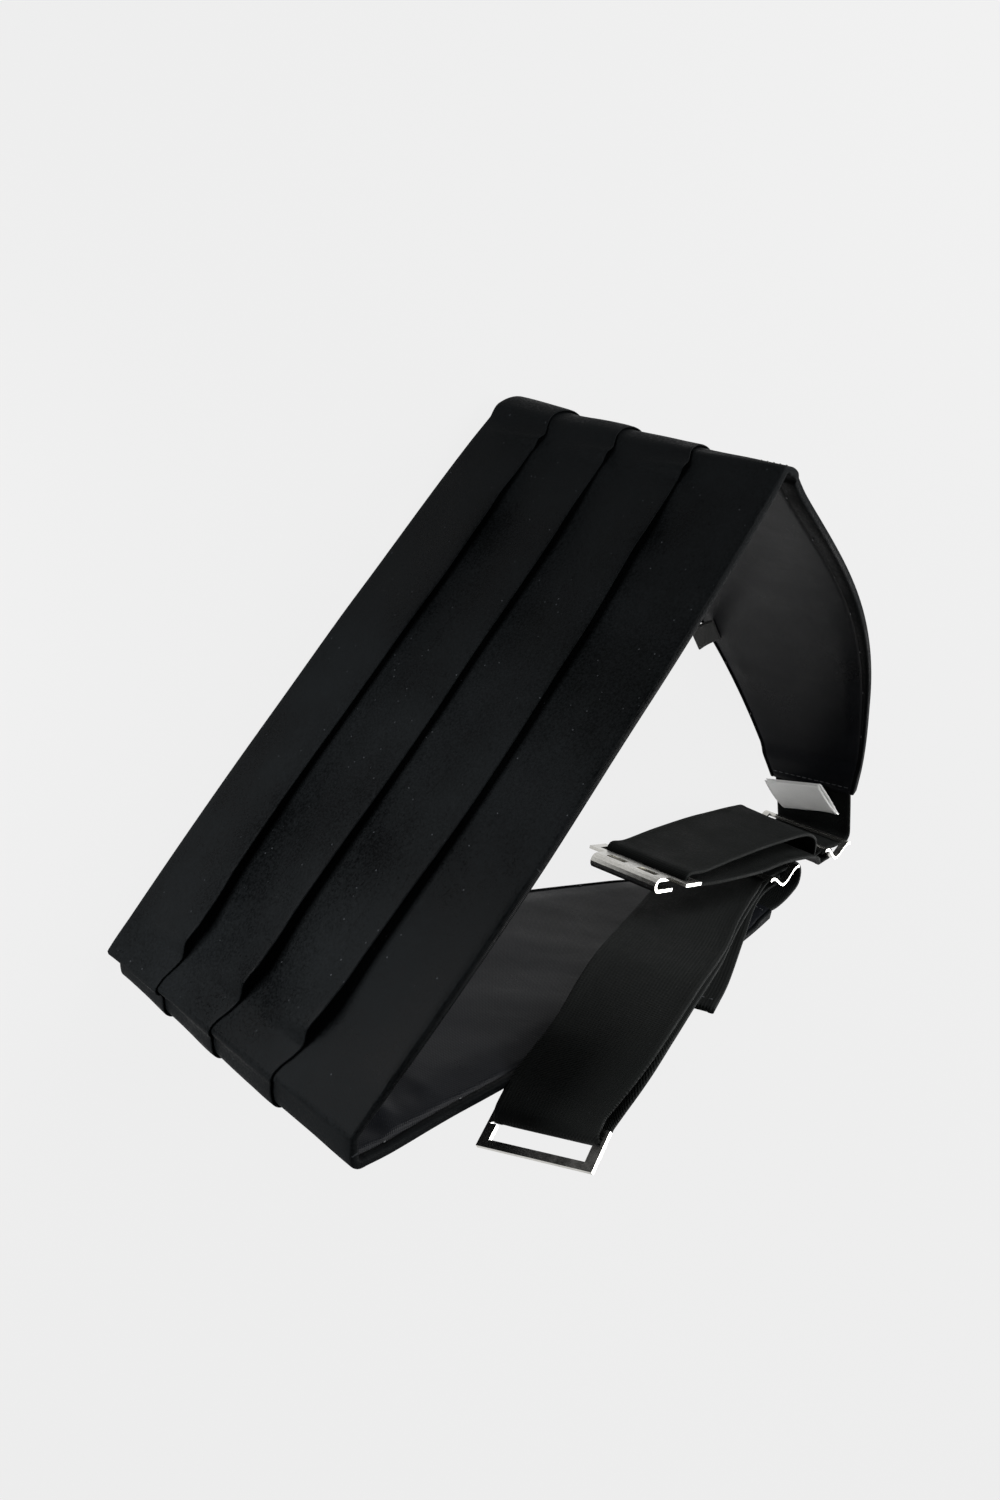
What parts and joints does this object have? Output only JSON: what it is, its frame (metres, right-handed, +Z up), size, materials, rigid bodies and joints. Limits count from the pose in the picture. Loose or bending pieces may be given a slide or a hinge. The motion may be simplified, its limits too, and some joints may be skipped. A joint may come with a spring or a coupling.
{
  "type": "cummerbund",
  "caption": "Pleated satin waist sash standing open on its long edge, with tapering wings, elastic straps on slides, a flat hook and a ring.",
  "frame": {"origin": "middle of the bounding box's underside, on the surface that the sash stands on", "axes": "+Z up, across the sash; the pleated front faces -Y; the hook's wing is on the -X side and the ring's on the +X side"},
  "size_m": [0.259, 0.2662, 0.1514],
  "materials": {
    "satin": "black satin weave",
    "lining_cloth": "dark blue-grey plain lining with a soft sheen",
    "elastic": "matt black woven elastic",
    "chrome": "bright nickel plate",
    "white_tape": "white label tape",
    "dark_tape": "dark label tape"
  },
  "bodies": {
    "belt": {"pleated_front": "satin", "lining": "lining_cloth", "hook_strap": "elastic", "ring_strap": "elastic", "hook_slider": "chrome", "ring_slider": "chrome", "care_label": "white_tape", "side_label": "dark_tape"},
    "hook": {"hook": "chrome"},
    "ring": {"ring": "chrome"}
  },
  "joints": [
    {"name": "hook_swing", "type": "hinge", "parent": "belt", "child": "hook", "pos_m": [-0.00789, 0.00331, 0.05914], "axis": [-0.0235, 0.1653, 0.986], "range_deg": [-90, 45]},
    {"name": "ring_swing", "type": "hinge", "parent": "belt", "child": "ring", "pos_m": [0.09259, -0.05338, 0.12863], "axis": [-0.2849, 0.0788, 0.9553], "range_deg": [-45, 90]}
  ]
}
